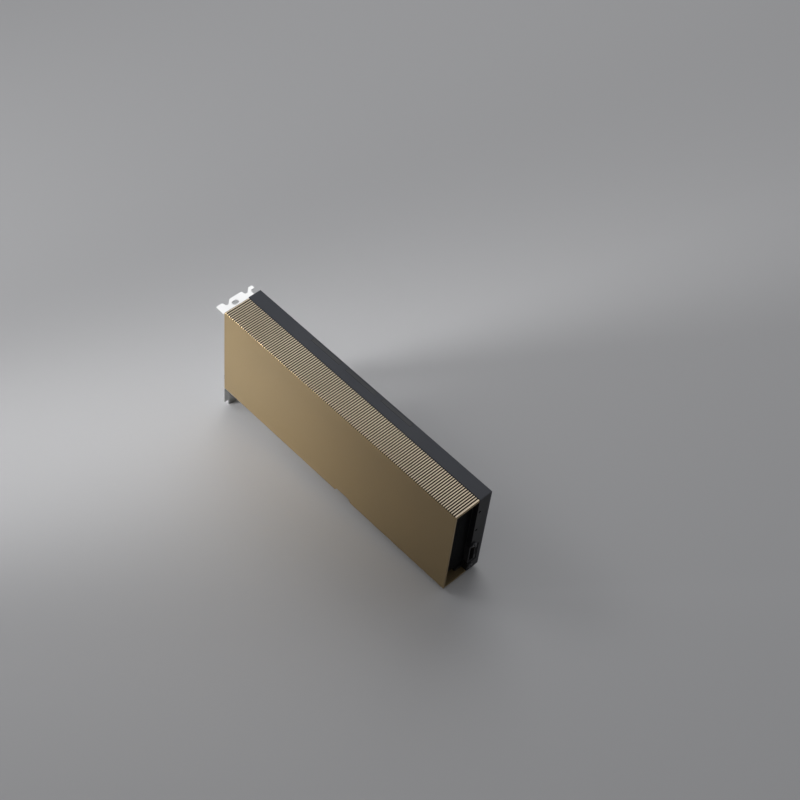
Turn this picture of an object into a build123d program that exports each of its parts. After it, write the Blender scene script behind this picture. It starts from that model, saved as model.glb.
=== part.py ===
from build123d import *
import os

os.makedirs("parts", exist_ok=True)

# A passive dual-slot accelerator card, standing on its contact edge.
# X runs from the bracket to the tail, Y from the gold front to the back, Z up.
# The origin is the middle of the key notch, on the board's lower edge, halfway through it.

# Card envelope
card_length = 268.0
card_height = 111.15
component_height = 34.8
board_thickness = 1.57
back_height = 2.67
key_to_bracket = 72.0
seam_gap = 0.5

# Front shroud
shroud_lift = 14.15
shroud_depth = 25.2
shroud_wall = 1.7
ribbed_wall = 2.8
shroud_edge_chamfer = 0.7
rib_pitch = 2.175
groove_width = 1.1
groove_depth = 1.2
last_rib_width = 1.4
latch_notch_x = 77.9
latch_notch_width = 19.0
latch_notch_top = 14.0
latch_notch_depth = 3.1

# Back cover
back_wall = 1.5
lip_thickness = 1.8
back_edge_radius = 1.2
cover_hole_radius = 3.1

# Rails
bottom_rail_height = 9.0
top_rail_height = 11.0
ledge_depth = 8.0
ledge_thickness = 3.0
bracket_screw_inset = 2.6
rear_screw_inset = 12.0
tail_screw_inset = 13.0
latch_screw_gap = 14.6

# Tail plate
tail_plate_thickness = 1.5
lower_tail_screw_rise = 6.5
tail_screw_spacing = 29.0
extender_hole_drop = 30.0
extender_hole_spacing = 24.0

# Bracket
bracket_thickness = 0.86
bracket_width = 38.74
bracket_height = 120.02
bracket_drop = 4.1
flange_length = 11.43
bend_inner_radius = 0.4
slot_pitch = 20.32
screw_notch_y = 9.7
screw_notch_width = 3.8
screw_notch_depth = 4.2
finger_hole_length = 6.3
finger_hole_width = 4.4
finger_hole_shift_x = 0.3
finger_hole_shift_y = 3.6
corner_tab_width = 3.5
corner_relief_depth = 5.0
corner_relief_radius = 2.2
flange_corner_radius = 1.5
tab_inner_radius = 1.1
tongue_width = 10.19
tongue_length = 8.0
tongue_taper = 2.0
vent_width = 6.3
vent_web = 1.1
vent_columns = 3
vent_rows = 10

# Circuit board
board_end_gap = 0.3
board_shoulder = 10.0
board_top_gap = 3.2
key_notch_width = 1.9
key_notch_depth = 7.65
short_edge_length = 11.65
long_edge_length = 71.65
edge_bevel = 0.5
hook_gap = 3.9
hook_width = 9.0
hook_reach = 1.8
hook_height = 6.5
hook_tip = 2.0

# Contacts
contact_pitch = 1.0
contact_width = 0.7
contact_height = 3.9
contact_lift = 1.1
contact_thickness = 0.06
contact_to_key = 1.5
short_side_contacts = 11
long_side_contacts = 71

# Bridge ports
bridge_middle_x = 53.5
bridge_pitch = 41.0
bridge_port_length = 34.0
bridge_port_width = 3.6
bridge_tab_length = 28.0
bridge_tab_gap = 0.4
bridge_cover_clearance = 0.12
bridge_skirt = 2.4
bridge_contact_height = 2.2

# Cooler
base_thickness = 5.6
base_to_board = 3.5
base_side_gap = 0.5
base_front_gap = 3.0
fin_pitch = 2.2
fin_thickness = 0.35
fin_web = 0.6
fin_tip_gap = 0.3
fin_bracket_gap = 8.0
mouth_recess = 5.0
chamber_length = 90.0
chamber_margin = 9.6
chamber_thickness = 3.0
chamber_pocket_gap = 0.2
post_radius = 3.2
post_gap = 0.6
post_end_inset = 5.2

# Processor package
package_x = 45.0
package_length = 58.0
package_height = 52.0
package_thickness = 1.6
die_length = 26.0
die_height = 33.0
die_thickness = 0.8
memory_length = 9.0
memory_height = 10.5
memory_gap = 0.6
stiffener_width = 3.5
stiffener_thickness = 0.6

# Power supply
inductor_size = 6.8
inductor_height = 3.0
inductor_pitch = 8.6
inductor_offset = 54.0
stage_length = 5.0
stage_height = 1.0
stage_offset = 62.5
capacitor_length = 7.3
capacitor_width = 4.3
capacitor_height = 2.6
capacitor_offset = 71.0

# Power connector
connector_width = 21.4
connector_depth = 13.0
connector_height = 8.9
connector_recess = 0.5
cavity_width = 18.8
cavity_height = 5.6
cavity_depth = 9.5
sense_slot_width = 9.6
sense_slot_height = 1.2
connector_rim = 0.7
pin_pitch = 3.0
pin_width = 1.0
pin_length = 5.0
pin_columns = 6
sense_pin_pitch = 2.0
sense_pin_width = 0.5
sense_pin_columns = 4
window_clearance = 0.3
connector_room = 1.0

# Screws
screw_sides = 8
screw_radius = 1.2
thread_clearance = 0.03
screw_hole_radius = 1.5
screw_head_radius = 2.4
screw_head_height = 1.3
head_clearance = 0.2
socket_width = 1.9
socket_depth = 0.7
thread_depth = 5.0
retention_head_radius = 2.8
spring_plate_thickness = 0.6
spring_arm_width = 9.0
spring_boss_radius = 5.0

# Places that follow from the sizes above
rear_x = -key_to_bracket
tail_x = rear_x + card_length
plate_inner_x = tail_x - tail_plate_thickness
board_front_y = -board_thickness / 2
board_back_y = board_thickness / 2
front_y = board_front_y - component_height
back_y = board_back_y + back_height
top_z = card_height
shroud_low_z = shroud_lift
shroud_edge_y = front_y + shroud_depth
rail_front_y = shroud_edge_y + seam_gap
rail_back_y = board_front_y
lip_low_z = top_z - lip_thickness
back_inner_y = back_y - back_wall
low_rail_top_z = shroud_low_z + bottom_rail_height
top_rail_low_z = lip_low_z - top_rail_height
low_rail_z = shroud_low_z + bottom_rail_height / 2
top_rail_z = lip_low_z - top_rail_height / 2
rail_y = (rail_front_y + rail_back_y) / 2
base_back_y = board_front_y - base_to_board
base_front_y = base_back_y - base_thickness
base_y = (base_front_y + base_back_y) / 2
base_low_z = low_rail_top_z + base_side_gap
base_high_z = top_rail_low_z - base_side_gap
package_z = (base_low_z + base_high_z) / 2
chamber_height = base_high_z - base_low_z - 2 * chamber_margin
chamber_back_y = board_front_y - package_thickness - die_thickness
chamber_front_y = chamber_back_y - chamber_thickness
lower_tail_screw_z = shroud_low_z + lower_tail_screw_rise
upper_tail_screw_z = lower_tail_screw_z + tail_screw_spacing
connector_z = (upper_tail_screw_z + lower_tail_screw_z) / 2
connector_front_y = board_front_y - connector_height
connector_mouth_x = tail_x - connector_recess
connector_back_x = connector_mouth_x - connector_depth
flange_top_z = top_z - bracket_drop
bracket_face_x = rear_x - bracket_thickness
bracket_low_z = flange_top_z - bracket_height
tongue_root_z = bracket_low_z + tongue_length
bracket_front_y = back_y - bracket_width
board_top_z = lip_low_z - board_top_gap

# Screw places: along X on the rails, and round the package
first_screw_x = rear_x + rear_screw_inset
last_screw_x = tail_x - tail_screw_inset
latch_screw_x = latch_notch_x + latch_notch_width / 2 + latch_screw_gap
low_screw_x = [first_screw_x, (first_screw_x + latch_screw_x) / 2, latch_screw_x, last_screw_x]
top_screw_x = [
    first_screw_x,
    bridge_middle_x - bridge_pitch / 2,
    bridge_middle_x + bridge_pitch / 2,
    last_screw_x,
]
rail_screws = [(x, low_rail_z) for x in low_screw_x] + [(x, top_rail_z) for x in top_screw_x]
low_bracket_screw_z = low_rail_top_z - bracket_screw_inset
top_bracket_screw_z = top_rail_low_z + bracket_screw_inset
post_span_x = chamber_length - 2 * post_end_inset
post_span_z = chamber_height + 2 * (post_radius + post_gap)
posts = [
    (package_x + side * post_span_x / 2, package_z + level * post_span_z / 2)
    for side in (-1, 1)
    for level in (-1, 1)
]


def rectangle_between(low_a, low_b, high_a, high_b, mode=Mode.ADD):
    """A sketch rectangle given by its lowest and highest corners."""
    with Locations(((low_a + high_a) / 2, (low_b + high_b) / 2)):
        Rectangle(high_a - low_a, high_b - low_b, mode=mode)


def screw_round(radius, mode=Mode.ADD):
    """An eight-sided disc for screws and their holes: many small circles would be heavy."""
    RegularPolygon(radius, screw_sides, mode=mode)


def save_piece(piece, name):
    """Labels a finished piece and writes it to its own file."""
    piece.part.label = name
    export_step(piece.part, f"parts/{name}.step")


# Front shroud: one gold aluminium U, its top wall ribbed across, its floor joggled for a latch
# The first groove is open to the bracket, and the last rib ends flush with the tail
groove_count = int((card_length - last_rib_width - groove_width) / rib_pitch) + 1
groove_planes = [Plane.YZ.offset(rear_x + i * rib_pitch) for i in range(groove_count)]
groove_floor_z = top_z - groove_depth
ledge_y = rail_front_y - ledge_depth / 2
flat_head_height = screw_head_radius - screw_radius


def latch_relief(growth):
    """The trapezoid over the slot latch, grown by a wall, as a sketch on the XZ plane."""
    half_foot = latch_notch_width / 2 + growth
    half_top = latch_notch_top / 2 + growth
    high_z = shroud_low_z + latch_notch_depth + growth
    Polygon(
        (latch_notch_x - half_foot, shroud_low_z),
        (latch_notch_x + half_foot, shroud_low_z),
        (latch_notch_x + half_top, high_z),
        (latch_notch_x - half_top, high_z),
        align=None,
    )


with BuildPart() as front_shroud:
    with BuildSketch(Plane.YZ.offset(rear_x)):
        rectangle_between(front_y, shroud_low_z, shroud_edge_y, top_z)
        rectangle_between(
            front_y + shroud_wall,
            shroud_low_z + shroud_wall,
            shroud_edge_y,
            top_z - ribbed_wall,
            mode=Mode.SUBTRACT,
        )
    extrude(amount=card_length)
    with BuildSketch(Plane.XZ.offset(-shroud_edge_y)):
        latch_relief(shroud_wall)
    extrude(amount=shroud_depth)
    with BuildSketch(Plane.XZ.offset(-shroud_edge_y)):
        latch_relief(0)
    extrude(amount=shroud_depth, mode=Mode.SUBTRACT)
    front_edges = front_shroud.edges().filter_by(Axis.X).group_by(Axis.Y)[0]
    chamfer(front_edges.sort_by(Axis.Z)[-1], length=shroud_edge_chamfer)
    with BuildSketch(*groove_planes):
        rectangle_between(front_y, groove_floor_z, shroud_edge_y, top_z)
    extrude(amount=groove_width, mode=Mode.SUBTRACT)
    with BuildSketch(Plane.XY.offset(shroud_low_z)):
        with Locations([(x, ledge_y) for x in low_screw_x]):
            screw_round(screw_hole_radius)
    extrude(amount=shroud_wall, mode=Mode.SUBTRACT)
    with BuildSketch(Plane.XY.offset(shroud_low_z)):
        with Locations([(x, ledge_y) for x in low_screw_x]):
            screw_round(screw_head_radius + head_clearance)
    extrude(amount=flat_head_height, taper=45, mode=Mode.SUBTRACT)
save_piece(front_shroud, "front_shroud")


# Rails: two dark aluminium bars that carry the shroud on a ledge and the board on their backs
def build_rail(low_z, high_z, ledge_low_z, screw_x, end_screw_z):
    """One rail, from the bracket to the tail plate, with its threads for board and bracket."""
    ledge_tail_x = tail_x - mouth_recess
    with BuildPart() as rail:
        with BuildSketch(Plane.YZ.offset(rear_x)):
            rectangle_between(rail_front_y, low_z, rail_back_y, high_z)
        extrude(amount=plate_inner_x - rear_x)
        with BuildSketch(Plane.YZ.offset(rear_x)):
            rectangle_between(
                rail_front_y - ledge_depth, ledge_low_z, rail_front_y, ledge_low_z + ledge_thickness
            )
        extrude(amount=ledge_tail_x - rear_x)
        with BuildSketch(Plane.XZ.offset(-rail_back_y)):
            with Locations([(x, (low_z + high_z) / 2) for x in screw_x]):
                screw_round(screw_radius + thread_clearance)
        extrude(amount=thread_depth, mode=Mode.SUBTRACT)
        with BuildSketch(Plane.YZ.offset(rear_x)):
            with Locations((rail_y, end_screw_z)):
                screw_round(screw_radius + thread_clearance)
        extrude(amount=thread_depth, mode=Mode.SUBTRACT)
    return rail


bottom_rail_body = build_rail(
    shroud_low_z, low_rail_top_z, shroud_low_z + shroud_wall, low_screw_x, low_bracket_screw_z
)
with BuildPart() as bottom_rail:
    add(bottom_rail_body.part)
    with BuildSketch(Plane.XZ.offset(-rail_front_y)):
        latch_relief(shroud_wall + window_clearance)
    extrude(amount=ledge_depth, mode=Mode.SUBTRACT)
    with BuildSketch(Plane.XZ.offset(-rail_back_y)):
        latch_relief(0)
    extrude(amount=rail_back_y - rail_front_y, mode=Mode.SUBTRACT)
    with BuildSketch(Plane.XY.offset(shroud_low_z + shroud_wall)):
        with Locations([(x, ledge_y) for x in low_screw_x]):
            screw_round(screw_radius + thread_clearance)
    extrude(amount=ledge_thickness, mode=Mode.SUBTRACT)
    with BuildSketch(Plane.YZ.offset(plate_inner_x)):
        with Locations((base_y, lower_tail_screw_z)):
            screw_round(screw_radius + thread_clearance)
    extrude(amount=-thread_depth, mode=Mode.SUBTRACT)
save_piece(bottom_rail, "bottom_rail")

top_ledge_z = top_z - ribbed_wall - ledge_thickness
bridge_ports = [bridge_middle_x + i * bridge_pitch for i in (-1, 0, 1)]
top_rail_body = build_rail(top_rail_low_z, lip_low_z, top_ledge_z, top_screw_x, top_bracket_screw_z)
with BuildPart() as top_rail:
    add(top_rail_body.part)
    with BuildSketch(Plane.XY.offset(board_top_z)):
        with Locations([(x, 0) for x in bridge_ports]):
            Rectangle(bridge_port_length, bridge_port_width)
    extrude(amount=board_top_gap, mode=Mode.SUBTRACT)
save_piece(top_rail, "top_rail")

# Back cover: one dark plate on two inner rims, whose lip wraps over to the ribbed wall
with BuildPart() as backplate:
    with BuildSketch(Plane.YZ.offset(rear_x)):
        rectangle_between(back_inner_y, shroud_low_z, back_y, top_z)
        rectangle_between(rail_front_y, lip_low_z, back_y, top_z)
    extrude(amount=card_length)
    top_back_edge = backplate.edges().filter_by(Axis.X).group_by(Axis.Z)[-1].sort_by(Axis.Y)[-1]
    fillet(top_back_edge, radius=back_edge_radius)
    with BuildSketch(Plane.XZ.offset(-back_inner_y)):
        rectangle_between(rear_x, shroud_low_z, plate_inner_x, low_rail_top_z)
        rectangle_between(rear_x, top_rail_low_z, plate_inner_x, board_top_z)
    extrude(amount=back_inner_y - board_back_y)
    with BuildSketch(Plane.XZ.offset(-back_y)):
        with Locations(rail_screws):
            screw_round(screw_head_radius + head_clearance)
    extrude(amount=screw_head_height, mode=Mode.SUBTRACT)
    with BuildSketch(Plane.XZ.offset(-back_y)):
        with Locations(rail_screws):
            screw_round(screw_hole_radius)
        with Locations(posts):
            screw_round(cover_hole_radius)
    extrude(amount=back_height, mode=Mode.SUBTRACT)
    with BuildSketch(Plane.XY.offset(lip_low_z)):
        with Locations([(x, 0) for x in bridge_ports]):
            Rectangle(bridge_port_length, bridge_port_width)
    extrude(amount=lip_thickness, mode=Mode.SUBTRACT)
save_piece(backplate, "backplate")

# Bridge covers: three moulded caps that fill the ports in the lip and clip over the board's tabs
skirt_inner = board_thickness / 2 + contact_thickness + bridge_cover_clearance
skirt_outer = bridge_port_width / 2 - bridge_cover_clearance
cover_length = bridge_port_length - 2 * bridge_cover_clearance
skirt_y = (skirt_inner + skirt_outer) / 2
for number, port_x in enumerate(bridge_ports, start=1):
    with BuildPart() as bridge_cover:
        with BuildSketch(Plane.XY.offset(lip_low_z)):
            with Locations((port_x, 0)):
                Rectangle(cover_length, 2 * skirt_outer)
        extrude(amount=lip_thickness)
        with BuildSketch(Plane.XY.offset(lip_low_z)):
            with Locations((port_x, -skirt_y), (port_x, skirt_y)):
                Rectangle(cover_length, skirt_outer - skirt_inner)
        extrude(amount=-bridge_skirt)
    save_piece(bridge_cover, f"bridge_cover_{number}")

# Circuit board: contact edge with its key notch, latch hook and three bridge tabs
board_rear_x = rear_x + board_end_gap
board_tail_x = plate_inner_x - board_end_gap
edge_start_x = -key_notch_width / 2 - short_edge_length
edge_end_x = key_notch_width / 2 + long_edge_length
hook_x = edge_end_x + hook_gap
tab_top_z = lip_low_z - bridge_tab_gap
with BuildPart() as circuit_board:
    with BuildSketch(Plane.XZ.offset(-board_back_y)):
        rectangle_between(board_rear_x, board_shoulder, board_tail_x, board_top_z)
        rectangle_between(edge_start_x, 0, edge_end_x, board_shoulder)
        rectangle_between(hook_x, board_shoulder - hook_height, hook_x + hook_width, board_shoulder)
        rectangle_between(
            hook_x - hook_reach,
            board_shoulder - hook_height,
            hook_x,
            board_shoulder - hook_height + hook_tip,
        )
        for port_x in bridge_ports:
            half_tab = bridge_tab_length / 2
            rectangle_between(port_x - half_tab, board_top_z, port_x + half_tab, tab_top_z)
    extrude(amount=board_thickness)
    contact_edges = circuit_board.edges().filter_by(Axis.X).group_by(Axis.Z)[0]
    chamfer(contact_edges, length=edge_bevel)
    with BuildSketch(Plane.XZ.offset(-board_back_y)):
        rectangle_between(-key_notch_width / 2, 0, key_notch_width / 2, key_notch_depth - key_notch_width / 2)
        with Locations((0, key_notch_depth - key_notch_width / 2)):
            Circle(key_notch_width / 2)
        with Locations(rail_screws + posts):
            screw_round(screw_hole_radius)
    extrude(amount=board_thickness, mode=Mode.SUBTRACT)
save_piece(circuit_board, "circuit_board")

# Card edge contacts: plated pads on both faces, one for each spring in the slot
contact_z = contact_lift + contact_height / 2
short_side_x = [-contact_to_key - i * contact_pitch for i in range(short_side_contacts)]
long_side_x = [contact_to_key + i * contact_pitch for i in range(long_side_contacts)]
with BuildPart() as card_edge_contacts:
    with BuildSketch(Plane.XZ.offset(-board_front_y), Plane.XZ.offset(-board_back_y - contact_thickness)):
        with Locations([(x, contact_z) for x in short_side_x + long_side_x]):
            Rectangle(contact_width, contact_height)
    extrude(amount=contact_thickness)
save_piece(card_edge_contacts, "card_edge_contacts")

# Bridge contacts: plated bands on both faces of the three tabs
bridge_contact_z = tab_top_z - bridge_contact_height / 2
with BuildPart() as bridge_contacts:
    with BuildSketch(Plane.XZ.offset(-board_front_y), Plane.XZ.offset(-board_back_y - contact_thickness)):
        with Locations([(x, bridge_contact_z) for x in bridge_ports]):
            Rectangle(bridge_tab_length - 2 * contact_width, bridge_contact_height)
    extrude(amount=contact_thickness)
save_piece(bridge_contacts, "bridge_contacts")

# Heatsink base: thick aluminium plate, pocketed for the chamber and cut away for the connector
connector_top_z = connector_z + connector_width / 2 + connector_room
connector_clear_x = connector_back_x - connector_room
base_rear_x = rear_x + base_front_gap
extender_z = top_z - extender_hole_drop
extender_places = [(base_y, extender_z + side * extender_hole_spacing / 2) for side in (-1, 1)]
with BuildPart() as heatsink_base:
    with BuildSketch(Plane.XZ.offset(-base_back_y)):
        rectangle_between(base_rear_x, base_low_z, connector_clear_x, base_high_z)
        rectangle_between(connector_clear_x, connector_top_z, plate_inner_x, base_high_z)
    extrude(amount=base_thickness)
    with BuildSketch(Plane.XZ.offset(-base_back_y)):
        with Locations((package_x, package_z)):
            Rectangle(chamber_length + 2 * chamber_pocket_gap, chamber_height + 2 * chamber_pocket_gap)
    extrude(amount=base_back_y - chamber_front_y, mode=Mode.SUBTRACT)
    with BuildSketch(Plane.XZ.offset(-board_front_y)):
        with Locations(posts):
            screw_round(post_radius)
    extrude(amount=base_to_board)
    with BuildSketch(Plane.XZ.offset(-board_front_y)):
        with Locations(posts):
            screw_round(screw_radius + thread_clearance)
    extrude(amount=thread_depth, mode=Mode.SUBTRACT)
    with BuildSketch(Plane.YZ.offset(plate_inner_x)):
        with Locations((base_y, upper_tail_screw_z)):
            screw_round(screw_radius + thread_clearance)
        with Locations(*extender_places):
            Circle(screw_radius + thread_clearance)
    extrude(amount=-thread_depth, mode=Mode.SUBTRACT)
save_piece(heatsink_base, "heatsink_base")

# Vapour chamber: flat copper plate let into the base, pressed on the package
with BuildPart() as vapour_chamber:
    with BuildSketch(Plane.XZ.offset(-chamber_back_y)):
        with Locations((package_x, package_z)):
            Rectangle(chamber_length, chamber_height)
    extrude(amount=chamber_thickness)
save_piece(vapour_chamber, "vapour_chamber")

# Fin stack: thin fins along the duct, joined by a web soldered to the base
fin_low_y = front_y + shroud_wall + fin_tip_gap
fin_rear_x = rear_x + fin_bracket_gap
fin_tail_x = tail_x - mouth_recess
fin_count = int((base_high_z - base_low_z - fin_thickness) / fin_pitch) + 1
fin_middle_z = (base_low_z + base_high_z) / 2
with BuildPart() as fin_stack:
    with BuildSketch(Plane.YZ.offset(fin_rear_x)):
        rectangle_between(base_front_y - fin_web, base_low_z, base_front_y, base_high_z)
        with Locations(((fin_low_y + base_front_y - fin_web) / 2, fin_middle_z)):
            with GridLocations(0, fin_pitch, 1, fin_count):
                Rectangle(base_front_y - fin_web - fin_low_y, fin_thickness)
    extrude(amount=fin_tail_x - fin_rear_x)
save_piece(fin_stack, "fin_stack")

# Processor package: carrier, frame round its rim, die and six memory stacks
with BuildPart() as gpu_package:
    with BuildSketch(Plane.XZ.offset(-board_front_y)):
        with Locations((package_x, package_z)):
            Rectangle(package_length, package_height)
    extrude(amount=package_thickness)
save_piece(gpu_package, "gpu_package")

package_face_y = board_front_y - package_thickness
with BuildPart() as package_stiffener:
    with BuildSketch(Plane.XZ.offset(-package_face_y)):
        with Locations((package_x, package_z)):
            Rectangle(package_length, package_height)
            Rectangle(
                package_length - 2 * stiffener_width, package_height - 2 * stiffener_width, mode=Mode.SUBTRACT
            )
    extrude(amount=stiffener_thickness)
save_piece(package_stiffener, "package_stiffener")

with BuildPart() as gpu_die:
    with BuildSketch(Plane.XZ.offset(-package_face_y)):
        with Locations((package_x, package_z)):
            Rectangle(die_length, die_height)
    extrude(amount=die_thickness)
save_piece(gpu_die, "gpu_die")

memory_reach = (die_length + memory_length) / 2 + memory_gap
memory_places = [
    (package_x + side * memory_reach, package_z + level * (memory_height + memory_gap))
    for side in (-1, 1)
    for level in (-1, 0, 1)
]
for number, place in enumerate(memory_places, start=1):
    with BuildPart() as memory_stack:
        with BuildSketch(Plane.XZ.offset(-package_face_y)):
            with Locations(place):
                Rectangle(memory_length, memory_height)
        extrude(amount=die_thickness)
    save_piece(memory_stack, f"memory_stack_{number}")

# Power supply: a column of inductors, power stages and capacitors on each side of the package
inductor_count = int((base_high_z - base_low_z) / inductor_pitch)


def column_places(offset):
    """The places of one kind of part, in a column on each side of the package."""
    half_run = (inductor_count - 1) / 2
    return [
        (package_x + side * offset, package_z + (i - half_run) * inductor_pitch)
        for side in (-1, 1)
        for i in range(inductor_count)
    ]


with BuildPart() as inductors:
    with BuildSketch(Plane.XZ.offset(-board_front_y)):
        with Locations(column_places(inductor_offset)):
            Rectangle(inductor_size, inductor_size)
    extrude(amount=inductor_height)
save_piece(inductors, "inductors")

with BuildPart() as power_stages:
    with BuildSketch(Plane.XZ.offset(-board_front_y)):
        with Locations(column_places(stage_offset)):
            Rectangle(stage_length, inductor_size)
    extrude(amount=stage_height)
save_piece(power_stages, "power_stages")

with BuildPart() as capacitors:
    with BuildSketch(Plane.XZ.offset(-board_front_y)):
        with Locations(column_places(capacitor_offset)):
            Rectangle(capacitor_length, capacitor_width)
    extrude(amount=capacitor_height)
save_piece(capacitors, "capacitors")

# Thermal pads: soft strips that fill the gap from the power parts to the base
pad_height = inductor_count * inductor_pitch
with BuildPart() as thermal_pads:
    with BuildSketch(Plane.XZ.offset(-(board_front_y - inductor_height))):
        with Locations((package_x - inductor_offset, package_z), (package_x + inductor_offset, package_z)):
            Rectangle(inductor_size, pad_height)
    extrude(amount=base_to_board - inductor_height)
    with BuildSketch(Plane.XZ.offset(-(board_front_y - stage_height))):
        with Locations((package_x - stage_offset, package_z), (package_x + stage_offset, package_z)):
            Rectangle(stage_length, pad_height)
    extrude(amount=base_to_board - stage_height)
save_piece(thermal_pads, "thermal_pads")

# Spring plate: cross-shaped steel spring behind the board, with an ear at each retention screw
spring_back_y = board_back_y + spring_plate_thickness
with BuildPart() as spring_plate:
    with BuildSketch(Plane.XZ.offset(-spring_back_y)):
        for side_x, side_z in posts:
            with BuildLine():
                arm = Line((package_x, package_z), (side_x, side_z))
            trace(arm, line_width=spring_arm_width)
        with Locations(posts):
            screw_round(spring_boss_radius)
        with Locations(posts):
            screw_round(screw_hole_radius, mode=Mode.SUBTRACT)
    extrude(amount=spring_plate_thickness)
save_piece(spring_plate, "spring_plate")

# Power connector: moulded 16-way socket with its mouth at the tail, and its pins
power_cavity_y = connector_front_y + connector_rim + cavity_height / 2
sense_slot_y = connector_front_y + 2 * connector_rim + cavity_height + sense_slot_height / 2
with BuildPart() as power_connector:
    with BuildSketch(Plane.YZ.offset(connector_back_x)):
        rectangle_between(
            connector_front_y,
            connector_z - connector_width / 2,
            board_front_y,
            connector_z + connector_width / 2,
        )
    extrude(amount=connector_depth)
    with BuildSketch(Plane.YZ.offset(connector_mouth_x)):
        with Locations((power_cavity_y, connector_z)):
            Rectangle(cavity_height, cavity_width)
    extrude(amount=-cavity_depth, mode=Mode.SUBTRACT)
    with BuildSketch(Plane.YZ.offset(connector_mouth_x)):
        with Locations((sense_slot_y, connector_z)):
            Rectangle(sense_slot_height, sense_slot_width)
    extrude(amount=-cavity_depth, mode=Mode.SUBTRACT)
save_piece(power_connector, "power_connector")

with BuildPart() as power_pins:
    with BuildSketch(Plane.YZ.offset(connector_mouth_x - cavity_depth)):
        with Locations((power_cavity_y, connector_z)):
            with GridLocations(pin_pitch, pin_pitch, 2, pin_columns):
                Rectangle(pin_width, pin_width)
        with Locations((sense_slot_y, connector_z)):
            with GridLocations(0, sense_pin_pitch, 1, sense_pin_columns):
                Rectangle(sense_pin_width, sense_pin_width)
    extrude(amount=pin_length)
save_piece(power_pins, "power_pins")

# Tail plate: dark end plate between the open mouth and the back, notched round the connector
with BuildPart() as tail_plate:
    with BuildSketch(Plane.YZ.offset(plate_inner_x)):
        rectangle_between(rail_front_y, shroud_low_z, back_inner_y, lip_low_z)
        rectangle_between(
            rail_front_y,
            connector_z - connector_width / 2 - window_clearance,
            board_front_y + window_clearance,
            connector_z + connector_width / 2 + window_clearance,
            mode=Mode.SUBTRACT,
        )
        with Locations((base_y, upper_tail_screw_z), (base_y, lower_tail_screw_z)):
            screw_round(screw_hole_radius, mode=Mode.SUBTRACT)
        with Locations(*extender_places):
            Circle(screw_radius + thread_clearance, mode=Mode.SUBTRACT)
    extrude(amount=tail_plate_thickness)
save_piece(tail_plate, "tail_plate")


# Bracket: one folded steel plate, vented over the duct, with a notched flange and two tongues
def screw_notch(middle_y):
    """One screw notch, open at the flange's edge, with a 45-degree lead-in on its back side."""
    outer_x = rear_x - flange_length
    half = screw_notch_width / 2
    round_x = outer_x + screw_notch_depth - half
    tangent = half / 2**0.5
    lead_x = round_x + tangent
    with Locations((round_x, middle_y)):
        Circle(half)
    Polygon(
        (outer_x, middle_y - half),
        (round_x, middle_y - half),
        (lead_x, middle_y + tangent),
        (outer_x, middle_y + tangent + lead_x - outer_x),
        align=None,
    )


notch_places = [front_y + screw_notch_y, front_y + screw_notch_y + slot_pitch]
finger_hole_x = rear_x - flange_length / 2 + finger_hole_shift_x
finger_hole_y = sum(notch_places) / 2 - finger_hole_shift_y
flange_low_z = flange_top_z - bracket_thickness
relief_x = rear_x - flange_length + corner_tab_width
relief_y = back_y - corner_relief_depth
vent_y = (front_y + shroud_wall + base_front_y) / 2
vent_z = (base_low_z + base_high_z) / 2
with BuildPart() as io_bracket:
    with BuildSketch(Plane.XZ.offset(-back_y)):
        rectangle_between(bracket_face_x, bracket_low_z, rear_x, flange_top_z)
        rectangle_between(rear_x - flange_length, flange_low_z, rear_x, flange_top_z)
    extrude(amount=bracket_width)
    bend_edges = io_bracket.edges().filter_by(Axis.Y)
    inner_bend = bend_edges.filter_by_position(
        Axis.Z, flange_low_z - bend_inner_radius, flange_low_z + bend_inner_radius
    )
    fillet(inner_bend.sort_by(Axis.X)[-1], radius=bend_inner_radius)
    outer_bend = io_bracket.edges().filter_by(Axis.Y).group_by(Axis.Z)[-1].sort_by(Axis.X)[-1]
    fillet(outer_bend, radius=bend_inner_radius + bracket_thickness)
    with BuildSketch(Plane.XY.offset(flange_top_z)):
        for place in notch_places:
            screw_notch(place)
        with Locations((finger_hole_x, finger_hole_y)):
            SlotOverall(finger_hole_length, finger_hole_width, rotation=90)
    extrude(amount=-2 * bracket_thickness, mode=Mode.SUBTRACT)
    with BuildSketch(Plane.XY.offset(flange_top_z)) as relief:
        rectangle_between(relief_x, relief_y, rear_x, back_y)
        fillet(relief.vertices().group_by(Axis.Y)[0].sort_by(Axis.X)[0], radius=corner_relief_radius)
    extrude(amount=-2 * bracket_thickness, mode=Mode.SUBTRACT)
    tab_edges = io_bracket.edges().filter_by(Axis.Z).group_by(Axis.Y)[-1].sort_by(Axis.X)
    fillet(tab_edges[1], radius=tab_inner_radius)
    fillet(io_bracket.edges().filter_by(Axis.Z).group_by(Axis.X)[0], radius=flange_corner_radius)
    with BuildSketch(Plane.YZ.offset(bracket_face_x)):
        rectangle_between(bracket_front_y, bracket_low_z, back_y, tongue_root_z)
        for place in notch_places:
            low_y = place - tongue_width / 2
            high_y = place + tongue_width / 2
            Polygon(
                (low_y, tongue_root_z),
                (low_y, bracket_low_z + tongue_taper),
                (low_y + tongue_taper, bracket_low_z),
                (high_y - tongue_taper, bracket_low_z),
                (high_y, bracket_low_z + tongue_taper),
                (high_y, tongue_root_z),
                align=None,
                mode=Mode.SUBTRACT,
            )
        with Locations((vent_y, vent_z)):
            with HexLocations((vent_width + vent_web) / 2, vent_columns, vent_rows):
                RegularPolygon(vent_width / 2, 6, major_radius=False)
        with Locations((rail_y, low_bracket_screw_z), (rail_y, top_bracket_screw_z)):
            screw_round(screw_hole_radius)
    extrude(amount=bracket_thickness, mode=Mode.SUBTRACT)
save_piece(io_bracket, "io_bracket")


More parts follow.
